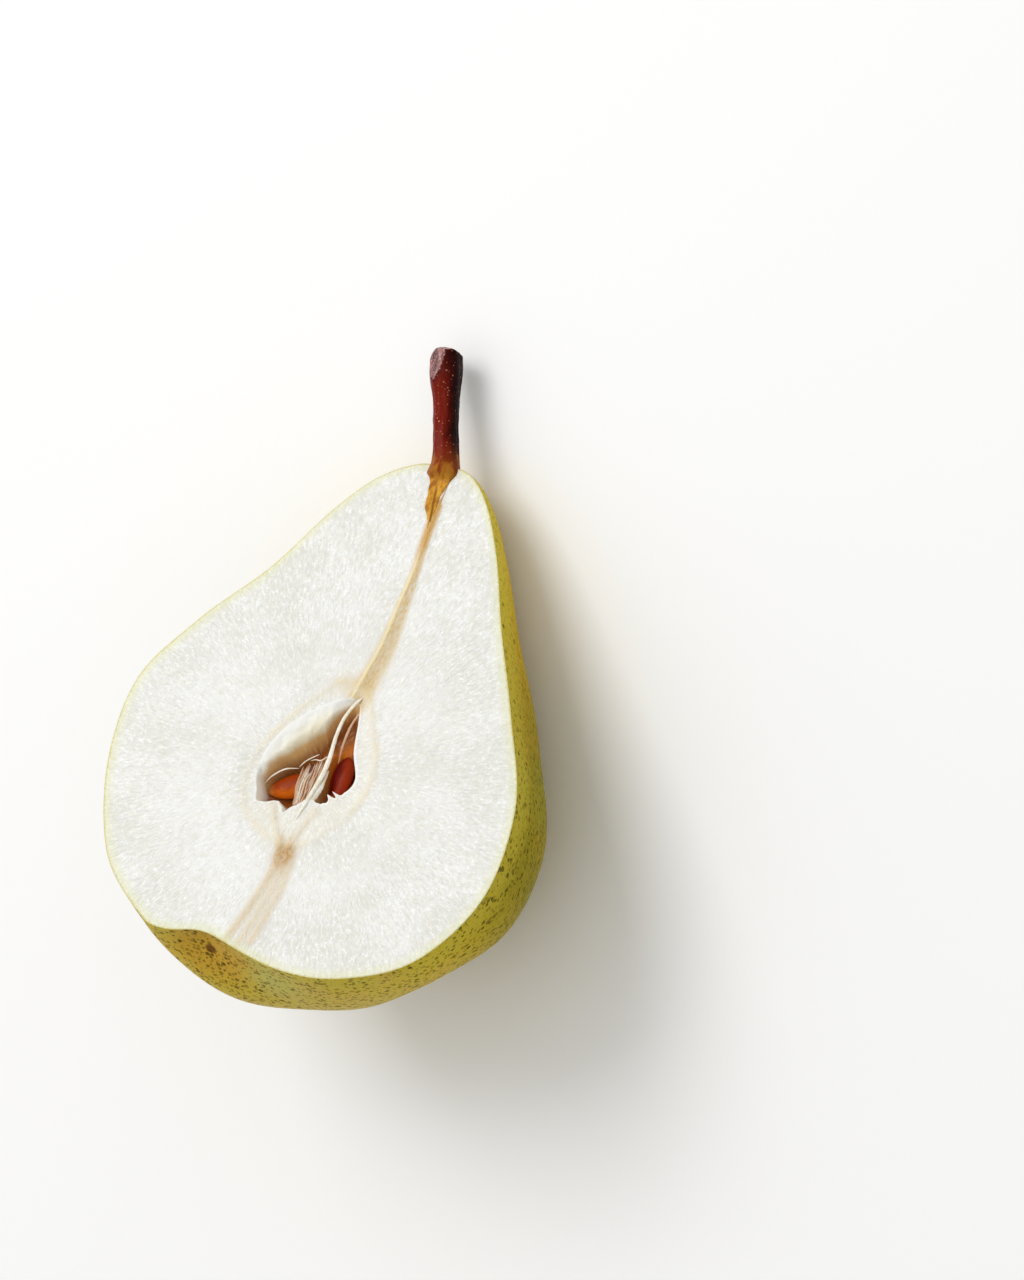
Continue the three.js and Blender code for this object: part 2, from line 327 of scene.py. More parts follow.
def shelf_width(angles):
    """How far in from the lip the core's white shelf reaches."""
    turns, widths = zip(*PALE_WALL)
    return np.interp(np.asarray(angles) % (2 * math.pi), turns, widths, left=0, right=0)


def gentle_side(angles, turn_in, turn_out):
    """1 along the core's gentle upper left, 0 along its steep sides."""
    return np.clip(smooth(1.1, turn_in, angles) + (1 - smooth(-3.1, turn_out, angles)), 0, 1)


def lay_core(grid, marks, outward, mouth, bearing):
    """The open core: steep walls, a white shelf at the upper left, and a ridge between its chambers."""
    gentle, shelf = gentle_side(bearing, 1.7, -2.5), shelf_width(bearing)
    for k in range(CORE_RINGS + 1):
        share = (k / CORE_RINGS) ** 0.8
        inwards = mouth * (1 - share)
        steep_depth = CORE_DEPTH * (1 - share**4.4) ** 0.23
        shelf_depth = 0.2 * np.minimum(inwards, shelf)
        shelf_depth += (CORE_DEPTH - shelf_depth) * smooth(0.7 * shelf, shelf + 3.0, inwards)
        depth = steep_depth + (shelf_depth - steep_depth) * gentle
        xy = CORE_MIDDLE + outward * (mouth * share)[:, None]
        ridge = np.exp(-((away_from(CORE_RIDGE, xy) / 1.3) ** 2))
        grid[k, :, :2] = xy
        grid[k, :, 2] = -depth + np.minimum(ridge * 2.6, depth * 0.7)
        marks["heart"][k] = -mouth * (1 - share)
        marks["edge"][k] = FAR


def lay_flesh(grid, marks, outward, mouth, reach, bearing):
    """The cut face, from the core's mouth out to the rim, with its rings closest at both ends."""
    ring_reach = reach_of(np.array(CORE_RING) - CORE_MIDDLE, bearing)
    for k in range(1, FLESH_RINGS + 1):
        share = k / FLESH_RINGS
        share = share - 0.055 * math.sin(2 * math.pi * share) / (2 * math.pi) * 4
        out = mouth + (reach - mouth) * share
        row = CORE_RINGS + k
        grid[row, :, :2] = CORE_MIDDLE + outward * out[:, None]
        marks["heart"][row] = out - mouth
        marks["edge"][row] = reach - out
        marks["ringed"][row] = out - ring_reach


def lay_skin(grid, marks, outward, bearing):
    """The skin, from the rim round to the back."""
    for k in range(1, SKIN_RINGS + 1):
        tilt = math.pi / 2 * (k / SKIN_RINGS) ** 1.12
        row = CORE_RINGS + FLESH_RINGS + k
        for s in range(AROUND):
            flat = outward[s] * math.cos(tilt)
            way = Vector((flat[0], flat[1], -math.sin(tilt)))
            grid[row, s] = skin_point(way) + np.array(way) * belly_fullness(bearing[s], tilt)
        marks["edge"][row] = -1
        marks["heart"][row] = FAR


def half_grid():
    """Rings of points from the core's floor round to the back, with three distances at each point.

    heart is from the core's lip, and less than 0 inside it. edge is from the rim. ringed is from the
    cream line round the core.
    """
    outward = rim_points() - CORE_MIDDLE
    reach = np.linalg.norm(outward, axis=1)
    outward = outward / reach[:, None]
    bearing = np.arctan2(outward[:, 1], outward[:, 0])
    mouth = core_reach(bearing)
    size = (ALL_RINGS + 1, AROUND)
    grid = np.zeros(size + (3,))
    marks = {"heart": np.zeros(size), "edge": np.zeros(size), "ringed": np.full(size, FAR)}
    lay_core(grid, marks, outward, mouth, bearing)
    lay_flesh(grid, marks, outward, mouth, reach, bearing)
    lay_skin(grid, marks, outward, bearing)
    return grid, marks


def face_relief(points, marks, veins, sharp):
    """Heights on the cut face: the thread, the veins, the core's lip and ring, and fine unevenness."""
    heart, edge, thread = marks["heart"], marks["edge"], veins["vein"]
    lip = sharp * np.exp(-(((heart - 0.35) / 0.4) ** 2))
    relief = 0.14 * np.exp(-((thread / 0.8) ** 2)) - 0.16 * np.exp(-(((thread - 1.7) / 1.0) ** 2))
    relief += 0.12 * lip - 0.25 * np.exp(-((heart / 2.6) ** 2))
    relief += 0.1 * np.exp(-((marks["ringed"] / 0.5) ** 2))
    for number in range(len(LOW_VEINS)):
        low = veins[f"low_vein_{number}"]
        relief += 0.11 * np.exp(-((low / 0.45) ** 2)) - 0.08 * np.exp(-(((low - 1.0) / 0.6) ** 2))
    relief += 0.05 * rough(points, 1.6) + 0.09 * rough(points + 40, 9.0, 2)
    return relief * smooth(0, 1.2, edge)


def mark_patches(half, points, marks, angle):
    """Stores where each patch of colour lies, for the materials."""
    xy, heart = points[:, :2], marks["heart"]
    mark(half, "along", points[:, 1])
    mark(half, "down", -points[:, 2])
    mark(half, "eye", np.linalg.norm(points - EYE_MIDDLE, axis=1))
    mark(half, "fresh_patch", np.exp(-np.sum(((points - FRESH_PATCH) / 5.5) ** 2, axis=1)))
    mark(half, "stain", spot(xy, (3.7, 15.7), (1.5, 2.3)))
    mark(half, "tan_patch", 0.6 * spot(xy, (0.8, 44.2), (2.0, 1.6)) + spot(xy, (3.9, 43.5), (1.9, 2.6)))
    width = shelf_width(angle)
    mark(half, "pale_wall", smooth(-width - 0.9, -width + 0.9, heart) * smooth(0.0, 0.8, width))
    mark(half, "red_side", spot(xy, (5.6, 32.6), (3.4, 5.4)))
    # partly painted shade: a brown patch above the left seed, also darkened for the shade there
    mark(half, "brown_and_shadow_side", spot(xy, (-2.0, 26.6), (4.0, 2.6)))
    out = np.linalg.norm(xy - CORE_MIDDLE, axis=1)
    fan = np.stack([np.cos(angle) * 10, np.sin(angle) * 10, out], 1)
    layer = half.data.attributes.new("fan", "FLOAT_VECTOR", "POINT")
    layer.data.foreach_set("vector", fan.astype(np.float32).ravel())


def paint_half(half, ring):
    """Skin outside the rim, core wall inside the core's mouth, and flesh between."""
    for material in (make_skin(), make_flesh(), make_core_wall()):
        half.data.materials.append(material)
    kinds = []
    for face in half.data.polygons:
        rows = ring[list(face.vertices)]
        outside = rows.min() >= CORE_RINGS + FLESH_RINGS
        kinds.append(0 if outside else 2 if rows.max() <= CORE_RINGS else 1)
    half.data.polygons.foreach_set("material_index", kinds)
    half.data.update()


def build_half():
    """A globe whose lower side becomes the skin and whose upper side becomes the cut face and the core."""
    drop_selection()
    bpy.ops.mesh.primitive_uv_sphere_add(segments=AROUND, ring_count=ALL_RINGS, radius=1)
    half = finish_piece("half_fruit", 35)
    globe = points_of(half)
    ring = np.rint(np.arccos(np.clip(globe[:, 2], -1, 1)) / math.pi * ALL_RINGS).astype(int)
    turn = np.arctan2(globe[:, 1], globe[:, 0]) / (2 * math.pi)
    segment = np.rint(turn * AROUND).astype(int) % AROUND
    grid, marks = half_grid()
    points = grid[ring, segment]
    marks = {name: values[ring, segment] for name, values in marks.items()}

    angle = np.arctan2(points[:, 1] - CORE_MIDDLE[1], points[:, 0] - CORE_MIDDLE[0])
    sharp = 1 - gentle_side(angle, 1.5, -2.7)
    veins = {"vein": beside(VEIN, points[:, :2])}
    for number, path in enumerate(LOW_VEINS):
        veins[f"low_vein_{number}"] = beside(path, points[:, :2])
    on_face = (ring >= CORE_RINGS) & (ring <= CORE_RINGS + FLESH_RINGS)
    inner = on_face & (marks["edge"] > 0.02)
    points[inner, 2] += face_relief(points, marks, veins, sharp)[inner]
    walls = ring < CORE_RINGS
    inside = smooth(0, 1.5, -marks["heart"])[walls]
    points[walls, 2] += 0.16 * rough(points[walls], 1.5) * inside - 0.1 * (1 - inside) * sharp[walls]

    row_points = to_row(points)
    row_points[:, 2] = np.maximum(row_points[:, 2], 0)
    set_points(half, row_points)
    for name, values in marks.items():
        mark(half, name, values)
    for name, values in veins.items():
        mark(half, name, np.where(on_face, values, FAR))
    mark(half, "sharp_lip", sharp)
    mark_patches(half, points, marks, angle)
    paint_half(half, ring)
    return half


# ---- the stem ----

CROWN = np.array([0.3, 81.43, -0.7])
STEM_WAY = np.array([-5.75, 18.45, 4.6])
TIP = CROWN + STEM_WAY + (-0.6, -0.28, 0.23)
STEM_LINE = [
    CROWN + (2.0, -10.0, 0.45),
    CROWN + (0.6, -5.0, 0.1),
    CROWN,
    CROWN + 0.5 * STEM_WAY + (-0.3, 0, -0.1),
    TIP,
]
STEM_RADII = [  # share of the way from the root's end to the tip, and the radius there
    (0, 0.3), (0.08, 0.55), (0.2, 1.25), (0.275, 1.3), (0.36, 1.7), (0.43, 2.3), (0.5, 2.05), (0.72, 1.9),
    (0.87, 2.1), (0.93, 2.55), (1, 2.6),
]
TIP_BREAKS = [  # which way each broken face looks, and a place on it measured from the tip
    ((-0.509, -0.221, 0.832), (-0.73, -0.31, 1.19)),
    ((-0.818, -0.028, 0.571), (-1.25, -0.04, 0.87)),
    ((-0.2, 0.75, 0.75), (0.1, 0.0, 0.9)),
    ((0.05, 1.05, 0.1), (0.0, -0.15, 0.0)),
]
ROOT_SLIT = [  # the split that runs up the shaved root
    (2.4, 71.8), (1.7, 74.5), (0.9, 77.5), (0.5, 79.2),
]


def globe_places(globe):
    """Each point's share of the way from the globe's foot to its top, and its turn round it."""
    return np.arccos(np.clip(-globe[:, 2], -1, 1)) / math.pi, np.arctan2(globe[:, 1], globe[:, 0])


def across_path(path, share, step):
    """A point on a path, and the two directions across the path there."""
    along = through(path, min(share + step, 1)) - through(path, max(share - step, 0))
    along /= np.linalg.norm(along)
    side = np.cross((0, 0, 1), along)
    side /= np.linalg.norm(side)
    return through(path, share), side, np.cross(along, side)


def wave(angle, turns, along, shift=0, octaves=2):
    """Noise that closes on itself round a tube."""
    place = Vector((math.cos(angle) * turns + shift, math.sin(angle) * turns, along))
    return noise.fractal(place, 0.9, 2.1, octaves)


def stem_radius(share, angle):
    """The stem's radius, swollen where it leaves the fruit and at its old bud."""
    grain = wave(angle, 1.3, share * 5.5, octaves=3)
    flare = 0.3 * math.exp(-(((share - 0.5) / 0.035) ** 2))
    flare += 0.12 * math.exp(-(((share - 0.72) / 0.02) ** 2))
    radius = through(STEM_RADII, min(share, 0.9999))[1]
    return radius + 0.17 * grain + 0.07 * wave(angle, 4, share * 12 + 9) + flare * (0.6 + 0.6 * grain)


def build_stem():
    """The stem and its root, which is shaved level with the cut face, then the broken tip."""
    drop_selection()
    bpy.ops.mesh.primitive_uv_sphere_add(segments=64, ring_count=150, radius=1)
    stem = finish_piece("woody_stem", 50)
    polar, turn = globe_places(points_of(stem))
    share = np.clip((polar - 0.03) / 0.94, 0, 1)
    closing = np.minimum(1, np.minimum(polar, 1 - polar) / 0.03)
    points = np.zeros((len(share), 3))
    for i, (s, angle, shut) in enumerate(zip(share, turn, closing)):
        here, side, up = across_path(STEM_LINE, s, 0.01)
        radius = stem_radius(s, angle) * math.sqrt(shut)
        points[i] = here + radius * (math.cos(angle) * side + math.sin(angle) * up)
    shaved = 0.16 + 0.05 * rough(points, 0.8)
    shaved += 12 * smooth(CROWN[1] - 1.6, CROWN[1] + 3, points[:, 1])
    points[:, 2] = np.minimum(points[:, 2], shaved)
    set_points(stem, to_row(points))
    mark(stem, "up_stem", share)
    mark(stem, "slit", beside(ROOT_SLIT, points[:, :2]))
    # painted light: how far each point of the stem faces the main light, for the bark's lighter lit side
    mark(stem, "lit_side", np.cos(turn - 0.95))
    stem.data.materials.append(make_bark())
    stem.data.materials.append(make_broken_wood())
    for lean, place in TIP_BREAKS:
        cut_tip(stem, TIP + place, lean)
    return stem


def cut_tip(stem, place, lean):
    """Breaks a flat facet off the stem's tip."""
    drop_selection()
    stem.select_set(True)
    bpy.context.view_layer.objects.active = stem
    bpy.ops.object.mode_set(mode="EDIT")
    bpy.ops.mesh.select_all(action="SELECT")
    direction = Vector(np.asarray(lean, float) @ PEAR_TO_ROW).normalized()
    middle = Vector(to_row(place))
    bpy.ops.mesh.bisect(plane_co=middle, plane_no=direction, use_fill=True, clear_outer=True)
    bpy.ops.object.mode_set(mode="OBJECT")
    for face in stem.data.polygons:
        if face.normal.dot(direction) > 0.999 and abs((face.center - middle).dot(direction)) < 1e-5:
            face.material_index = 1
            face.use_smooth = False


# ---- the seeds ----

SEED_LENGTH, SEED_WIDTH, SEED_THICKNESS, SEED_BEDDING = 7.8, 4.3, 2.6, 0.35
SEEDS = {  # places are shares of the core's radius from its middle, and turns are in radians
    "seed_left": {"x": -0.43, "y": -0.27, "turn": -1.1, "roll": 0.15},
    "seed_right": {"x": 0.45, "y": 0.1, "turn": 0.12, "roll": -0.3},
}


def seed_shape(globe, place):
    """A drop, flattened, turned and bedded in the floor of the core."""
    height, turn = globe[:, 2], np.arctan2(globe[:, 1], globe[:, 0])
    width = np.sqrt(np.clip(1 - height**2, 0, 1)) ** 1.15 * (0.86 + 0.14 * height)
    across = np.cos(turn) * width * SEED_WIDTH / 2
    thick = -np.sin(turn) * width * SEED_THICKNESS / 2
    shape = np.stack([across, height * SEED_LENGTH / 2, thick], 1)
    shape *= (1 + 0.025 * rough(globe + 5, 0.9))[:, None]
    spin = Matrix.Rotation(place["turn"], 3, "Z") @ Matrix.Rotation(place["roll"], 3, "Y")
    x, y = CORE_MIDDLE + np.array([place["x"], place["y"]]) * CORE_RADIUS
    depth = 0.92 * CORE_DEPTH - SEED_THICKNESS / 2 + SEED_BEDDING
    return shape @ np.array(spin).T + (x, y, -depth), np.cos(turn) * width


def build_seed(name, place, material):
    drop_selection()
    bpy.ops.mesh.primitive_uv_sphere_add(segments=64, ring_count=48, radius=1)
    seed = finish_piece(name + "_coat", 80)
    globe = points_of(seed)
    shape, sideways = seed_shape(globe, place)
    set_points(seed, to_row(shape))
    mark(seed, "lengthwise", globe[:, 2])
    mark(seed, "round_it", np.arctan2(globe[:, 1], globe[:, 0]))
    mark(seed, "sideways", sideways)
    seed.data.materials.append(material)
    return seed


# ---- strands over and round the core ----

STRANDS = [  # points along the strand, its radii, its redness
    ([(4.3, 43.0, -0.4), (3.8, 41.7, -0.05), (3.2, 39.6, 0.0), (3.0, 37.4, -0.05), (3.1, 35.1, -0.2),
      (3.5, 32.3, -0.35), (3.6, 30.2, -0.4), (3.5, 28.0, -0.35), (3.3, 25.6, -0.25), (3.0, 22.8, -0.12),
      (2.7, 19.8, -0.2)], (0.15, 0.27, 0.29, 0.29, 0.31, 0.35, 0.42, 0.46, 0.4, 0.3, 0.12), 0),
    ([(3.9, 30.6, -1.0), (3.9, 28.8, -0.9), (3.7, 26.6, -0.7), (3.3, 24.4, -0.6)],
     (0.1, 0.4, 0.7, 0.6), 0.05),
    ([(4.9, 41.2, -0.6), (4.2, 38.4, -0.9), (4.1, 35.0, -1.3), (4.4, 32.2, -1.9)],
     (0.1, 0.2, 0.2, 0.06), 0.5),
    ([(0.9, 32.9, -1.7), (0.0, 32.1, -1.7), (-0.9, 31.1, -1.7), (-1.5, 30.0, -1.8)],
     (0.05, 0.11, 0.11, 0.04), 0.2),
    ([(2.6, 32.8, -1.3), (1.6, 31.9, -1.5), (0.7, 31.9, -1.7), (-0.2, 31.6, -1.9)],
     (0.08, 0.12, 0.09, 0.04), 0.2),
    ([(-5.9, 26.2, -2.1), (-5.3, 27.5, -2.0), (-3.7, 29.2, -2.0), (-1.6, 30.1, -2.3)],
     (0.04, 0.12, 0.14, 0.05), 0.1),
    ([(0.2, 31.4, -2.3), (0.5, 30.5, -2.0), (0.9, 29.4, -1.9), (1.3, 28.4, -2.2)],
     (0.1, 0.34, 0.34, 0.1), 1),
    ([(1.7, 26.8, -1.5), (1.8, 26.2, -1.3), (1.9, 25.6, -1.4)],
     (0.1, 0.28, 0.1), 1),
]
FIBRE_COUNT = 26


def tissue_fibres():
    """Thin fibres that hang between the two chambers, each a little different."""
    chance = np.random.default_rng(5)
    fibres = []
    for k in range(FIBRE_COUNT):
        share = (k + 0.5) / FIBRE_COUNT
        top = np.array([-0.9 + 3.0 * share, 30.8 + 1.2 * share, -2.8 + 0.9 * share])
        top = top + chance.normal(0, 0.3, 3)
        foot = np.array([0.9 + 2.0 * share, 24.0, -1.1 + 0.3 * share]) + chance.normal(0, 0.25, 3)
        bend = (top + foot) / 2 + (0, 0, 0.45) + chance.normal(0, 0.22, 3)
        thick = 0.07 + 0.13 * chance.random()
        redness = min(0.68, max(0, chance.normal(0.5, 0.2)))
        path = [top, (top + bend) / 2, bend, (bend + foot) / 2, foot]
        fibres.append((path, (0.05, thick, thick, thick, 0.2), redness))
    return fibres


def build_strand(number, path, radii, redness):
    """One soft fibre: a globe drawn out along its path, with an uneven skin and closed ends."""
    drop_selection()
    bpy.ops.mesh.primitive_uv_sphere_add(segments=12, ring_count=40, radius=1)
    strand = bpy.context.object
    polar, turn = globe_places(points_of(strand))
    points = np.zeros((len(polar), 3))
    widths = list(enumerate(radii))
    for i, (share, angle) in enumerate(zip(polar, turn)):
        here, side, up = across_path(path, share, 0.02)
        swell = wave(angle, 2, share * 5, shift=7 * number)
        fray = noise.fractal(
            Vector((3 * math.cos(angle), 3 * math.sin(angle) + number, share * 26)), 0.9, 2.1, 2
        )
        radius = through(widths, share)[1] * (1 + 0.16 * swell + 0.2 * fray)
        radius *= min(1, math.sqrt(max(0, min(share, 1 - share)) / 0.06))
        points[i] = here + radius * (math.cos(angle) * side + 0.6 * math.sin(angle) * up)
    set_points(strand, to_row(points))
    mark(strand, "redness", np.full(len(points), redness))
    mark(strand, "round_it", turn)
    return strand


def build_strands(material):
    """All the fibres over and in the core, as one piece."""
    parts = [build_strand(number, *strand) for number, strand in enumerate(STRANDS + tissue_fibres())]
    drop_selection()
    for part in parts:
        part.select_set(True)
    bpy.context.view_layer.objects.active = parts[0]
    bpy.ops.object.join()
    strands = finish_piece("core_strands", 60)
    strands.data.materials.append(material)
    return strands


# ---- material helpers ----

def tone(red, green, blue):
    """A screen colour, 0 to 255, as the renderer's own."""
    parts = [c / 255 for c in (red, green, blue)]
    return tuple(c / 12.92 if c <= 0.04045 else ((c + 0.055) / 1.055) ** 2.4 for c in parts) + (1.0,)


def put(tree, kind, feed=None, **settings):
    """Adds a node, sets it, and feeds its sockets with values or with other nodes' outputs."""
    item = tree.nodes.new("ShaderNode" + kind)
    for name, value in settings.items():
        setattr(item, name, value)
    for key, value in (feed or {}).items():
        if isinstance(value, bpy.types.NodeSocket):
            tree.links.new(value, item.inputs[key])
        else:
            item.inputs[key].default_value = value
    return item


def sums(tree, operation, first, second=0.0, third=None, clamp=False):
    feed = {0: first, 1: second}
    if third is not None:
        feed[2] = third
    return put(tree, "Math", feed, operation=operation, use_clamp=clamp).outputs[0]


def times(tree, first, second, clamp=False):
    return sums(tree, "MULTIPLY", first, second, clamp=clamp)


def between(tree, value, low, high, out_low=0.0, out_high=1.0):
    feed = {"Value": value, "From Min": low, "From Max": high, "To Min": out_low, "To Max": out_high}
    return put(tree, "MapRange", feed, interpolation_type="SMOOTHSTEP").outputs["Result"]


def mixed(tree, share, first, second):
    return put(tree, "Mix", {0: share, 6: first, 7: second}, data_type="RGBA").outputs[2]


def stored(tree, name, output="Fac"):
    return put(tree, "Attribute", attribute_name=name).outputs[output]


def grains(tree, place, scale, detail=3.0, roughness=0.55, stretch=(1, 1, 1)):
    vector = put(tree, "Mapping", {"Vector": place, "Scale": stretch}).outputs[0]
    feed = {"Vector": vector, "Scale": scale, "Detail": detail, "Roughness": roughness}
    return put(tree, "TexNoise", feed).outputs["Fac"]


def new_material(name):
    material = bpy.data.materials.new(name)
    material.use_nodes = True
    tree = material.node_tree
    shader = tree.nodes["Principled BSDF"]
    place = put(tree, "TexCoord").outputs["Object"]
    return material, tree, shader, place


def fix(shader, values):
    """Sets what is the same all over the surface."""
    for name, value in values.items():
        shader.inputs[name].default_value = value


def soften(shader, weight, radius, scale):
    """Lets light into the surface, as wet fruit does."""
    fix(shader, {"Subsurface Weight": weight, "Subsurface Radius": radius, "Subsurface Scale": scale})


def bumped(tree, shader, height, strength, distance):
    bump = put(tree, "Bump", {"Height": height, "Strength": strength, "Distance": distance})
    tree.links.new(bump.outputs[0], shader.inputs["Normal"])


def new_group(name, inputs, outputs):
    """A shader node group with named sockets. inputs maps a name to its kind and first value."""
    group = bpy.data.node_groups.new(name, "ShaderNodeTree")
    for title, (kind, value) in inputs.items():
        socket = group.interface.new_socket(title, in_out="INPUT", socket_type="NodeSocket" + kind)
        if value is not None:
            socket.default_value = value
    for title, kind in outputs.items():
        group.interface.new_socket(title, in_out="OUTPUT", socket_type="NodeSocket" + kind)
    return group, group.nodes.new("NodeGroupInput"), group.nodes.new("NodeGroupOutput")


def place_group(tree, group, feed):
    item = tree.nodes.new("ShaderNodeGroup")
    item.node_tree = group
    for key, value in feed.items():
        if isinstance(value, bpy.types.NodeSocket):
            tree.links.new(value, item.inputs[key])
        else:
            item.inputs[key].default_value = value
    return item


def make_dots_group():
    """Small round spots of uneven size and strength, for skin and bark."""
    group, given, result = new_group(
        "uneven_dots",
        {
            "Place": ("Vector", None),
            "Spacing": ("Float", 0.0018),
            "Size": ("Float", 0.25),
            "Softness": ("Float", 0.06),
        },
        {"Dots": "Float"},
    )
    scale = sums(group, "DIVIDE", 1.0, given.outputs["Spacing"])
    cells = put(group, "TexVoronoi", {"Vector": given.outputs["Place"], "Scale": scale, "Randomness": 1.0})
    random = put(group, "SeparateColor", {0: cells.outputs["Color"]})
    uneven = sums(group, "MULTIPLY_ADD", random.outputs[0], 0.9, 0.35)
    size = times(group, given.outputs["Size"], uneven)
    inside = sums(group, "SUBTRACT", size, cells.outputs["Distance"])
    soft = sums(group, "DIVIDE", inside, given.outputs["Softness"], clamp=True)
    faded = times(group, soft, sums(group, "MULTIPLY_ADD", random.outputs[1], 0.6, 0.4))
    group.links.new(faded, result.inputs["Dots"])
    return group


def make_fibre_group():
    """Fine wet grain with short streaks that run out from the core."""
    group, given, result = new_group(
        "wet_fibre",
        {"Fan": ("Vector", None), "Place": ("Vector", None)},
        {"Streaks": "Float", "Grain": "Float", "Height": "Float"},
    )
    near = grains(group, given.outputs["Fan"], 1.0, 2.5, 0.6, (2.8, 2.8, 1.1))
    far = grains(group, given.outputs["Fan"], 1.0, 2.5, 0.6, (7.5, 7.5, 1.0))
    apart = put(group, "SeparateXYZ", {0: given.outputs["Fan"]}).outputs[2]
    feed = {0: between(group, apart, 8, 28), 2: near, 3: far}
    streaks = put(group, "Mix", feed, data_type="FLOAT").outputs[0]
    fine = grains(group, given.outputs["Place"], 2600, 4, 0.65)
    height = sums(group, "MULTIPLY_ADD", streaks, 0.75, times(group, fine, 0.5))
    group.links.new(streaks, result.inputs["Streaks"])
    group.links.new(fine, result.inputs["Grain"])
    group.links.new(height, result.inputs["Height"])
    return group


DOTS = make_dots_group()
FIBRE = make_fibre_group()


def dots(tree, place, spacing, size, softness=0.06):
    feed = {"Place": place, "Spacing": spacing, "Size": size, "Softness": softness}
    return place_group(tree, DOTS, feed).outputs[0]


# ---- materials ----

def make_skin():
    material, tree, shader, place = new_material("speckled_skin")
    along, down, eye = stored(tree, "along"), stored(tree, "down"), stored(tree, "eye")
    broad = grains(tree, place, 60, 3)
    patch = grains(tree, place, 170, 4)
    fleck = grains(tree, place, 900, 3, 0.6)
    # partly painted shade: this olive base is darker than the fruit's lighter outside further round, for
    # the shaded band beside the rim
    base = mixed(tree, between(tree, broad, 0.35, 0.62), tone(162, 134, 4), tone(146, 135, 10))
    # painted light: lighter yellow towards the eye end, where the skin is more lit
    base = mixed(tree, between(tree, along, 26, 4), base, tone(216, 188, 42))
    base = mixed(tree, between(tree, down, 12, 30, 0, 0.8), base, tone(206, 188, 80))
    base = mixed(tree, between(tree, along, 44, 72, 0, 0.8), base, tone(214, 178, 28))
    base = mixed(tree, between(tree, fleck, 0.5, 0.75, 0, 0.25), base, tone(220, 196, 70))
    # painted light: lighter yellow within a few millimetres of the rim, where the band is more lit
    base = mixed(tree, between(tree, down, 6.5, 1.0, 0, 0.55), base, tone(206, 190, 62))
    warm = times(tree, between(tree, patch, 0.45, 0.7), between(tree, along, 24, 2))
    base = mixed(tree, times(tree, warm, 0.4), base, tone(218, 176, 80))
    base = mixed(tree, times(tree, stored(tree, "fresh_patch"), 0.7), base, tone(196, 194, 104))
    ragged = sums(tree, "MULTIPLY_ADD", sums(tree, "SUBTRACT", patch, 0.5), 9.0, eye)
    base = mixed(tree, between(tree, ragged, 10.5, 3.0, 0, 0.75), base, tone(208, 158, 58))
    base = mixed(tree, between(tree, eye, 1.25, 0.7, 0, 0.9), base, tone(110, 66, 28))
    spots, ink = skin_spots(tree, place, along, down)
    tiny = times(tree, dots(tree, place, 0.0005, 0.36, 0.12), 0.5)
    base = mixed(tree, tiny, base, tone(118, 104, 10))
    base = mixed(tree, times(tree, spots, 0.85), base, ink)
    tree.links.new(base, shader.inputs["Base Color"])
    tree.links.new(between(tree, spots, 0, 1, 0.4, 0.6), shader.inputs["Roughness"])
    height = sums(tree, "MULTIPLY_ADD", spots, 0.6, sums(tree, "MULTIPLY_ADD", fleck, 0.3, patch))
    bumped(tree, shader, height, 0.35, 0.0003)
    shader.inputs["Specular IOR Level"].default_value = 0.03
    return material


def skin_spots(tree, place, along, down):
    """Where the speckles are, thinner towards the neck, and their colour."""
    low = between(tree, along, 66, 20, 0.45, 1.0)
    wide = dots(tree, place, 0.0019, 0.2)
    mid = times(tree, dots(tree, place, 0.00115, 0.34), low)
    small = times(tree, dots(tree, place, 0.00072, 0.4), times(tree, low, 0.9))
    spots = sums(tree, "MAXIMUM", sums(tree, "MAXIMUM", wide, mid), small)
    ink = mixed(tree, between(tree, along, 40, 74), tone(78, 62, 4), tone(92, 98, 12))
    return spots, mixed(tree, between(tree, down, 10, 26, 0, 0.7), ink, tone(148, 98, 30))


def fibre_of(tree, place):
    return place_group(tree, FIBRE, {"Fan": stored(tree, "fan", "Vector"), "Place": place}).outputs


def near_zero(tree, value, width):
    """1 where a signed distance is near zero, 0 beyond the width."""
    return between(tree, sums(tree, "ABSOLUTE", value), width, 0.0)


def make_flesh():
    material, tree, shader, place = new_material("wet_flesh")
    streaks, grain, height = fibre_of(tree, place)
    edge, heart, ringed = stored(tree, "edge"), stored(tree, "heart"), stored(tree, "ringed")
    vein, along = stored(tree, "vein"), stored(tree, "along")
    clouds = grains(tree, place, 90, 3)
    mottle = grains(tree, place, 620, 3)
    base = mixed(tree, between(tree, clouds, 0.35, 0.65), tone(228, 227, 219), tone(237, 237, 232))
    base = mixed(tree, between(tree, mottle, 0.48, 0.3, 0, 0.25), base, tone(216, 214, 202))
    # painted highlight: near-white wet glints where the streaks and the fine grain peak together
    glint = times(tree, between(tree, streaks, 0.5, 0.62), between(tree, grain, 0.42, 0.56))
    base = mixed(tree, times(tree, glint, 0.75), base, tone(255, 255, 254))
    base = mixed(tree, between(tree, streaks, 0.49, 0.34, 0, 0.4), base, tone(214, 211, 198))
    base = vein_tints(tree, base, vein, along, streaks)
    base = core_tints(tree, base, heart, ringed, streaks, clouds)
    base = mixed(tree, between(tree, edge, 2.2, 0.2, 0, 0.55), base, tone(226, 227, 180))
    ragged = sums(tree, "MULTIPLY_ADD", sums(tree, "SUBTRACT", grain, 0.5), 0.9, edge)
    base = mixed(tree, between(tree, ragged, 0.4, 0.05, 0, 0.75), base, tone(208, 194, 108))
    tree.links.new(base, shader.inputs["Base Color"])
    tree.links.new(between(tree, streaks, 0.35, 0.65, 0.46, 0.24), shader.inputs["Roughness"])
    ridge = times(tree, near_zero(tree, vein, 0.55), 0.4)
    bumped(tree, shader, sums(tree, "ADD", height, ridge), 0.6, 0.0005)
    soften(shader, 0.25, (1.0, 0.9, 0.65), 0.0015)
    return material


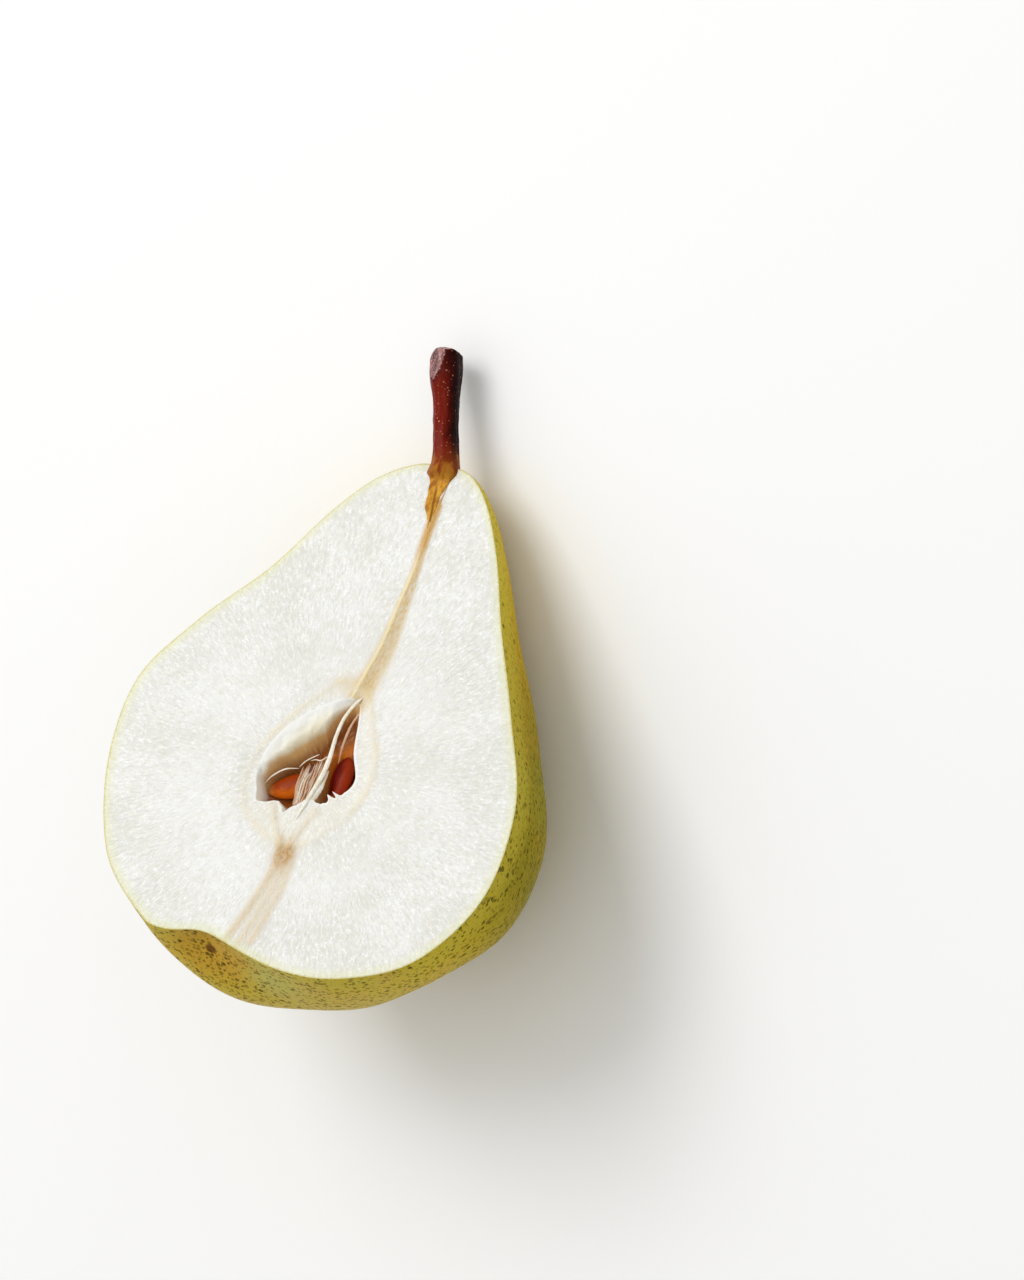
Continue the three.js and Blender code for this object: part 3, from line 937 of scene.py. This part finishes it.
def vein_tints(tree, base, vein, along, streaks):
    """Colours the tan band beside the pale thread to the stem, partly the tissue's tan and partly painted
    shade beside the raised thread, and the strands that fan to the eye.
    """
    # partly painted shade: the tan band lies on one side of the raised thread only
    width = between(tree, along, 72, 43, 0.9, 3.4)
    share = sums(tree, "DIVIDE", vein, width)
    band = times(tree, between(tree, share, -0.5, 0.15), between(tree, share, 1.15, 0.6))
    uneven = between(tree, streaks, 0.3, 0.7, 0.45, 1.0)
    band = times(tree, band, uneven)
    base = mixed(tree, band, base, tone(211, 182, 122))
    patch = times(tree, stored(tree, "tan_patch"), uneven, clamp=True)
    base = mixed(tree, times(tree, patch, 0.9), base, tone(206, 176, 116))
    root = times(tree, near_zero(tree, vein, 1.3), between(tree, along, 62.0, 71.0))
    base = mixed(tree, root, base, tone(206, 156, 66))
    thread = times(tree, near_zero(tree, vein, 0.5), between(tree, along, 70, 64, 0.1, 0.9))
    base = mixed(tree, thread, base, tone(243, 226, 178))
    for number, strength in enumerate((0.9, 0.7, 0.75, 0.6, 0.5)):
        low = near_zero(tree, stored(tree, f"low_vein_{number}"), 1.3)
        low = times(tree, low, uneven)
        base = mixed(tree, times(tree, low, strength), base, tone(216, 192, 146))
    patchy = between(tree, streaks, 0.3, 0.6, 0.6, 1.3)
    stain = times(tree, stored(tree, "stain"), patchy, clamp=True)
    return mixed(tree, times(tree, stain, 0.95), base, tone(186, 142, 72))


def core_tints(tree, base, heart, ringed, streaks, clouds):
    """Colours the cream ring that lies round the core, and paints the lip of the opening near-white as
    painted light.
    """
    uneven = between(tree, streaks, 0.3, 0.65, 0.25, 1.0)
    ring = times(tree, near_zero(tree, ringed, 1.2), uneven)
    ring = times(tree, ring, between(tree, clouds, 0.36, 0.56, 0.2, 0.62))
    base = mixed(tree, ring, base, tone(228, 212, 170))
    inside = times(tree, between(tree, ringed, 0.3, -0.8), between(tree, heart, 0.4, 1.2))
    base = mixed(tree, times(tree, inside, 0.3), base, tone(238, 232, 212))
    # painted light: the sharp lip is painted near-white, lighter than the flesh
    lip = times(tree, between(tree, heart, 0.6, 0.05, 0, 0.7), stored(tree, "sharp_lip"))
    return mixed(tree, lip, base, tone(252, 250, 240))


def make_core_wall():
    material, tree, shader, place = new_material("core_wall")
    heart, down = stored(tree, "heart"), stored(tree, "down")
    streaks, _, height = fibre_of(tree, place)
    clouds = grains(tree, place, 260, 3)
    shift = sums(tree, "SUBTRACT", clouds, 0.5)
    # partly painted shade: the wall darkens deeper in the core, partly the brown of the core's tissue and
    # partly painted shade of the hollow
    depth = sums(tree, "MULTIPLY_ADD", shift, 1.6, down)
    base = mixed(tree, between(tree, depth, 1.8, 4.4), tone(212, 168, 108), tone(146, 84, 34))
    base = mixed(tree, between(tree, streaks, 0.5, 0.7, 0, 0.25), base, tone(236, 210, 166))
    # partly painted shade: dark red-brown above the left seed, partly the wall's own brown
    wall_brown_and_shade = times(tree, stored(tree, "brown_and_shadow_side"), between(tree, down, 0.5, 2.4), clamp=True)
    base = mixed(tree, times(tree, wall_brown_and_shade, 0.9), base, tone(134, 68, 22))
    red = times(tree, stored(tree, "red_side"), between(tree, down, 0.3, 1.6), clamp=True)
    base = mixed(tree, between(tree, red, 0.15, 0.6), base, tone(188, 104, 26))
    base = mixed(tree, between(tree, red, 0.6, 0.95), base, tone(112, 30, 6))
    pale = sums(tree, "MULTIPLY_ADD", shift, 0.5, stored(tree, "pale_wall"), clamp=True)
    base = mixed(tree, between(tree, pale, 0.1, 0.6), base, tone(226, 212, 176))
    base = mixed(tree, between(tree, pale, 0.45, 0.95), base, tone(238, 231, 206))
    shelf = times(tree, pale, between(tree, heart, -3.4, -0.6))
    base = mixed(tree, shelf, base, tone(238, 238, 232))
    # painted light: the sharp lip is painted near-white, lighter than the flesh
    lip = times(tree, between(tree, heart, -0.7, -0.1, 0, 0.8), stored(tree, "sharp_lip"))
    base = mixed(tree, lip, base, tone(250, 247, 236))
    tree.links.new(base, shader.inputs["Base Color"])
    fix(shader, {"Roughness": 0.34, "Specular IOR Level": 0.15})
    bumped(tree, shader, height, 0.2, 0.0004)
    soften(shader, 0.15, (1.0, 0.8, 0.5), 0.001)
    return material


def make_strand():
    material, tree, shader, place = new_material("pale_strand")
    redness = stored(tree, "redness")
    lines = grains(tree, place, 900, 3, 0.6)
    fine = grains(tree, place, 2600, 3, 0.6)
    base = mixed(tree, between(tree, lines, 0.35, 0.65), tone(246, 242, 228), tone(230, 219, 190))
    base = mixed(tree, between(tree, redness, 0, 0.6, 0, 0.9), base, tone(196, 146, 108))
    base = mixed(tree, between(tree, redness, 0.75, 0.95), base, tone(92, 24, 12))
    tree.links.new(base, shader.inputs["Base Color"])
    tree.links.new(between(tree, lines, 0.3, 0.7, 0.28, 0.42), shader.inputs["Roughness"])
    bumped(tree, shader, sums(tree, "ADD", fine, lines), 0.4, 0.0003)
    soften(shader, 0.25, (1.0, 0.85, 0.55), 0.001)
    return material


def make_bark():
    material, tree, shader, place = new_material("stem_bark")
    up, slit, lit_side = stored(tree, "up_stem"), stored(tree, "slit"), stored(tree, "lit_side")
    broad = grains(tree, place, 300, 4)
    fine = grains(tree, place, 1400, 4, 0.65)
    grain = grains(tree, place, 520, 4, 0.6, (1.0, 0.3, 1.0))
    # partly painted light and shade: the bark is orange-red on the side facing the main light and near
    # black maroon on the far side, partly its own colour
    lit = sums(tree, "MULTIPLY_ADD", sums(tree, "SUBTRACT", grain, 0.5), 1.6, lit_side)
    base = mixed(tree, between(tree, lit, -0.1, 1.0), tone(22, 0, 0), tone(116, 24, 5))
    base = mixed(tree, between(tree, up, 0.8, 0.95, 0, 0.6), base, tone(36, 2, 2))
    # partly painted glints: lighter red flecks, partly the bark's own grain
    base = mixed(tree, between(tree, fine, 0.55, 0.75, 0, 0.4), base, tone(136, 40, 16))
    base = mixed(tree, between(tree, up, 0.64, 0.5, 0, 0.75), base, tone(140, 60, 18))
    base = root_tints(tree, base, up, grain)
    split = times(tree, near_zero(tree, slit, 0.35), between(tree, up, 0.44, 0.3))
    base = mixed(tree, times(tree, split, 0.8), base, tone(112, 52, 8))
    large, small = dots(tree, place, 0.0008, 0.17, 0.05), dots(tree, place, 0.00055, 0.2, 0.08)
    pale = sums(tree, "MAXIMUM", large, small)
    pale = times(tree, pale, between(tree, up, 0.5, 0.6))
    base = mixed(tree, times(tree, pale, 0.6), base, tone(222, 150, 112))
    tree.links.new(base, shader.inputs["Base Color"])
    tree.links.new(between(tree, fine, 0.3, 0.7, 0.22, 0.42), shader.inputs["Roughness"])
    fix(shader, {"Specular IOR Level": 0.05, "Coat Weight": 0.03, "Coat Roughness": 0.15})
    height = sums(tree, "MULTIPLY_ADD", pale, 0.4, sums(tree, "MULTIPLY_ADD", fine, 0.5, broad))
    height = sums(tree, "MULTIPLY_ADD", split, -1.2, height)
    bumped(tree, shader, height, 0.5, 0.0004)
    return material


def root_tints(tree, base, up, grain):
    """Colours the shaved amber root, with darker and paler grain and a pale end."""
    edge = sums(tree, "MULTIPLY_ADD", sums(tree, "SUBTRACT", grain, 0.5), 0.55, up)
    base = mixed(tree, between(tree, edge, 0.54, 0.4), base, tone(214, 156, 54))
    low_grain = times(tree, between(tree, grain, 0.54, 0.4), between(tree, edge, 0.56, 0.42))
    base = mixed(tree, times(tree, low_grain, 0.75), base, tone(136, 72, 8))
    high_grain = times(tree, between(tree, grain, 0.56, 0.7), between(tree, edge, 0.56, 0.42))
    base = mixed(tree, times(tree, high_grain, 0.85), base, tone(240, 206, 128))
    return mixed(tree, between(tree, edge, 0.16, 0.0), base, tone(226, 190, 120))


def make_broken_wood():
    material, tree, shader, place = new_material("broken_wood")
    fine = grains(tree, place, 3200, 4, 0.7)
    torn = grains(tree, place, 1300, 3, 0.6, (1.0, 0.35, 1.0))
    # partly painted highlights: the pale pink streaks are partly the broken wood's colour and partly
    # painted wet sheen
    base = mixed(tree, between(tree, torn, 0.38, 0.64), tone(84, 22, 20), tone(176, 112, 106))
    # painted highlights: near-white wet glints on the broken wood
    base = mixed(tree, between(tree, fine, 0.52, 0.7, 0, 0.8), base, tone(240, 214, 212))
    tree.links.new(base, shader.inputs["Base Color"])
    shader.inputs["Roughness"].default_value = 0.35
    bumped(tree, shader, sums(tree, "ADD", torn, fine), 0.7, 0.0004)
    return material


def make_seed_coat(name, light, dark):
    material, tree, shader, place = new_material(name)
    lengthwise, round_it = stored(tree, "lengthwise"), stored(tree, "round_it")
    lines = put(tree, "CombineXYZ", {0: times(tree, round_it, 5.0), 1: lengthwise}).outputs[0]
    streaks = grains(tree, lines, 2.0, 3)
    broad = grains(tree, place, 420, 3)
    side = sums(tree, "MULTIPLY_ADD", sums(tree, "SUBTRACT", broad, 0.5), 1.6, stored(tree, "sideways"))
    base = mixed(tree, between(tree, side, 0.5, -0.2), light, dark)
    base = mixed(tree, between(tree, streaks, 0.5, 0.7, 0, 0.4), base, dark)
    base = mixed(tree, between(tree, lengthwise, -0.6, -0.98, 0, 0.5), base, tone(214, 150, 80))
    tree.links.new(base, shader.inputs["Base Color"])
    tree.links.new(between(tree, streaks, 0.3, 0.7, 0.26, 0.36), shader.inputs["Roughness"])
    fix(shader, {"Specular IOR Level": 0.07, "Coat Weight": 0.03, "Coat Roughness": 0.12})
    bumped(tree, shader, streaks, 0.25, 0.0002)
    return material


def make_surface():
    material, tree, shader, place = new_material("pale_surface")
    soft = grains(tree, place, 6, 2)
    base = mixed(tree, soft, (0.965, 0.965, 0.96, 1), (0.975, 0.975, 0.97, 1))
    tree.links.new(base, shader.inputs["Base Color"])
    fix(shader, {"Roughness": 0.8, "Specular IOR Level": 0.2})
    return material


# ---- the pieces ----

half = build_half()
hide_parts("pear_half")
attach(half, "root")

stem = build_stem()
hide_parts("stem")
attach(stem, "root")

coats = {
    "seed_left": make_seed_coat("amber_seed", tone(200, 96, 12), tone(146, 52, 2)),
    "seed_right": make_seed_coat("dark_seed", tone(140, 42, 8), tone(98, 6, 2)),
}
for name, place in SEEDS.items():
    seed = build_seed(name, place, coats[name])
    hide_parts(name)
    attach(seed, "root")

strands = build_strands(make_strand())
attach(strands, "root")

# ---- surface, light and camera ----

drop_selection()
bpy.ops.mesh.primitive_plane_add(size=6)
surface = bpy.context.object
surface.name = "pale_table"
surface.data.materials.append(make_surface())

VIEW_TILT = math.radians(34)  # the camera's lean from square on to the cut face
VIEW_BEARING = math.radians(-33.4)  # towards which side of the pear it leans
AXIS_BEARING = math.radians(69.88)  # of the pear's length in the untilted view
FRAME_HEIGHT = 0.192
CAMERA_DISTANCE = 1.0
AIM_RIGHT, AIM_UP = 0.0303, 0.0195  # from the core's middle to the middle of the view


def camera_axes():
    lean = math.cos(VIEW_BEARING) * PEAR_X + math.sin(VIEW_BEARING) * PEAR_Y
    across = -math.sin(VIEW_BEARING) * PEAR_X + math.cos(VIEW_BEARING) * PEAR_Y
    back = math.cos(VIEW_TILT) * PEAR_Z + math.sin(VIEW_TILT) * lean
    towards = math.cos(VIEW_TILT) * lean - math.sin(VIEW_TILT) * PEAR_Z
    turn = AXIS_BEARING - math.radians(90) + VIEW_BEARING
    right = math.cos(turn) * towards - math.sin(turn) * across
    up = math.sin(turn) * towards + math.cos(turn) * across
    return right, up, back


right, up, back = camera_axes()
core = Vector(to_row((CORE_MIDDLE[0], CORE_MIDDLE[1], 0)))
aim = core + right * AIM_RIGHT + up * AIM_UP
camera_data = bpy.data.cameras.new("camera")
camera_data.sensor_fit = "VERTICAL"
camera_data.sensor_height = 24
camera_data.lens = 24 * CAMERA_DISTANCE / FRAME_HEIGHT
camera_data.clip_start = 0.05
camera = bpy.data.objects.new("camera", camera_data)
camera.matrix_world = Matrix.Translation(aim + back * CAMERA_DISTANCE) @ Matrix(
    (right, up, back)
).transposed().to_4x4()
bpy.context.scene.collection.objects.link(camera)
bpy.context.scene.camera = camera


def add_light(name, place, size, power, colour=(1, 1, 1)):
    data = bpy.data.lights.new(name, "AREA")
    data.size, data.energy, data.color = size, power, colour
    light = bpy.data.objects.new(name, data)
    light.location = place
    light.rotation_euler = (core - Vector(place)).to_track_quat("-Z", "Y").to_euler()
    bpy.context.scene.collection.objects.link(light)


add_light("key", core + back * 0.6 + up * 0.6 - right * 0.8, 0.7, 6.2)


def light_world():
    """A pale studio all round, brighter on the side the main light comes from."""
    world = bpy.data.worlds.new("studio")
    world.use_nodes = True
    tree = world.node_tree
    way = put(tree, "TexCoord").outputs["Generated"]
    bright = (back * 0.5 + up * 0.55 - right * 0.7).normalized()
    towards = put(tree, "VectorMath", {0: way, 1: bright}, operation="DOT_PRODUCT").outputs["Value"]
    strength = between(tree, towards, -0.75, 0.8, 0.1, 0.78)
    tree.links.new(strength, tree.nodes["Background"].inputs["Strength"])
    tree.nodes["Background"].inputs["Color"].default_value = (1, 1, 1, 1)
    bpy.context.scene.world = world


light_world()
bpy.context.scene.view_settings.view_transform = "Standard"
